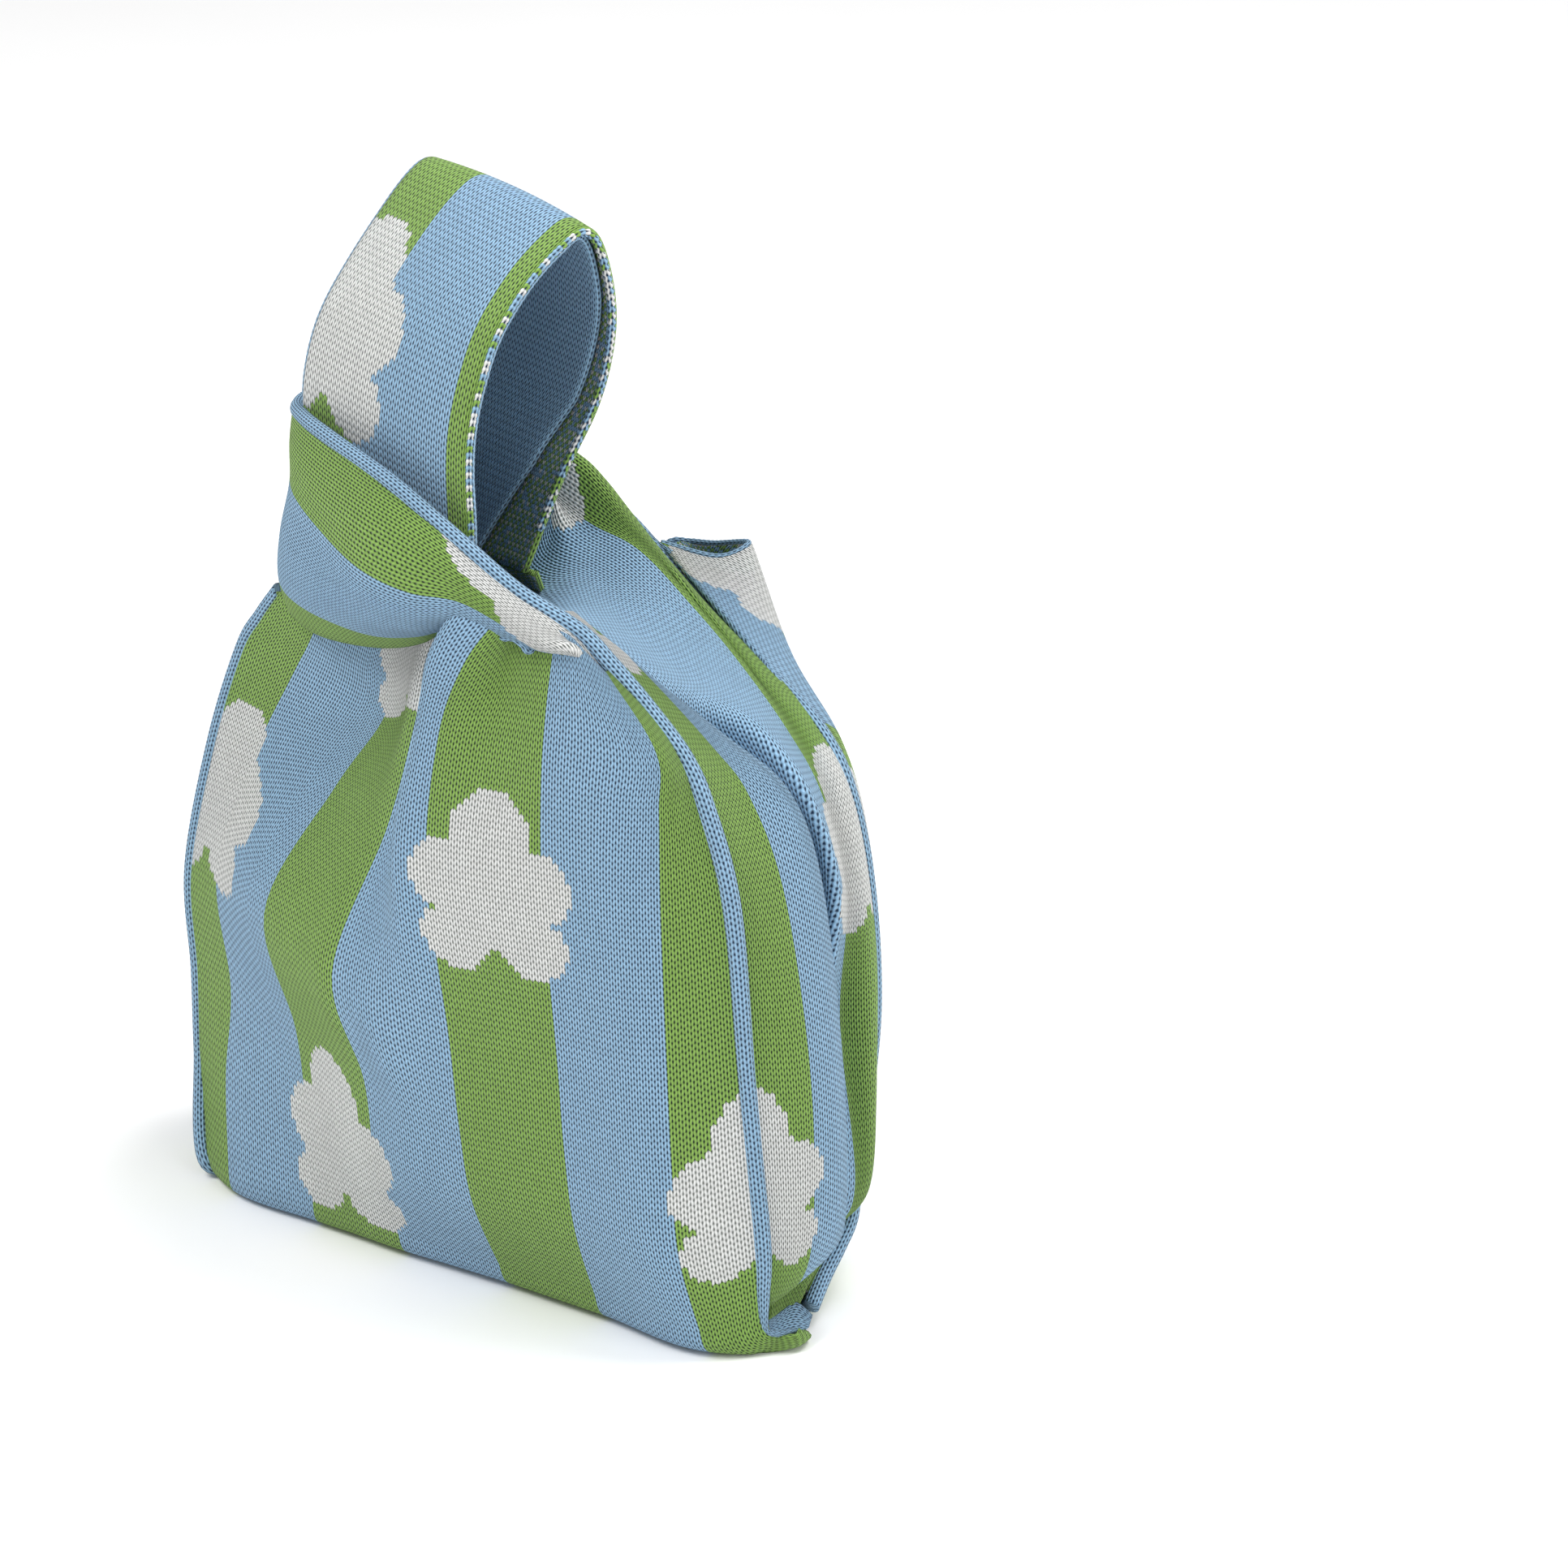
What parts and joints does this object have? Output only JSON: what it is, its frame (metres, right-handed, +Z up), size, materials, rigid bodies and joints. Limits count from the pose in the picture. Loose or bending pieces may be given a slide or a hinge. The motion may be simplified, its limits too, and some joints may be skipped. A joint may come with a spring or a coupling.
{
  "type": "knitted knot bag",
  "caption": "Standing knitted Japanese knot bag with inward-folding side gussets; the long wrist loop is drawn up through the short handle, which closes it like a collar.",
  "frame": {"origin": "on the table plane under the middle of the standing bag, on the base", "axes": "+Z up; the broad front faces -Y; the short handle's straps are on the +X side"},
  "size_m": [0.2158, 0.1138, 0.2824],
  "materials": {
    "knit": "knitted jacquard",
    "facing": "plain knit",
    "rib": "knitted welt",
    "overlock": "overlocked edge"
  },
  "bodies": {
    "bag": {"front_panel": "knit", "back_panel": "knit", "right_gusset": "knit", "left_gusset": "knit", "front_right_rib": "rib", "short_handle_rib": "rib", "back_right_rib": "rib", "front_left_rib": "rib", "back_left_rib": "rib", "base_front": "knit", "base_back": "knit", "bottom_seam": "overlock", "front_neck_hem": "rib", "back_neck_hem": "rib", "short_handle_outer": "knit", "short_handle_facing": "facing", "short_handle_seam": "overlock", "long_handle_base_front": "knit", "long_handle_base_back": "knit"},
    "handle_throat": {"long_handle_throat_front": "knit", "long_handle_throat_back": "knit"},
    "wrist_loop": {"loop_root_front": "knit", "loop_root_back": "knit", "loop_outer": "knit", "loop_facing": "facing", "loop_rib": "rib", "loop_seam": "overlock"}
  },
  "joints": [
    {"name": "handle_pull", "type": "slide", "parent": "bag", "child": "handle_throat", "axis": [0, 0, 1], "range_m": [0, 0.015]},
    {"name": "loop_flop", "type": "hinge", "parent": "handle_throat", "child": "wrist_loop", "pos_m": [-0.011, -0.02, 0.226], "axis": [0.9659, -0.2588, 0], "range_deg": [-15, 25], "deforming": ["loop_root_front", "loop_root_back"]}
  ]
}
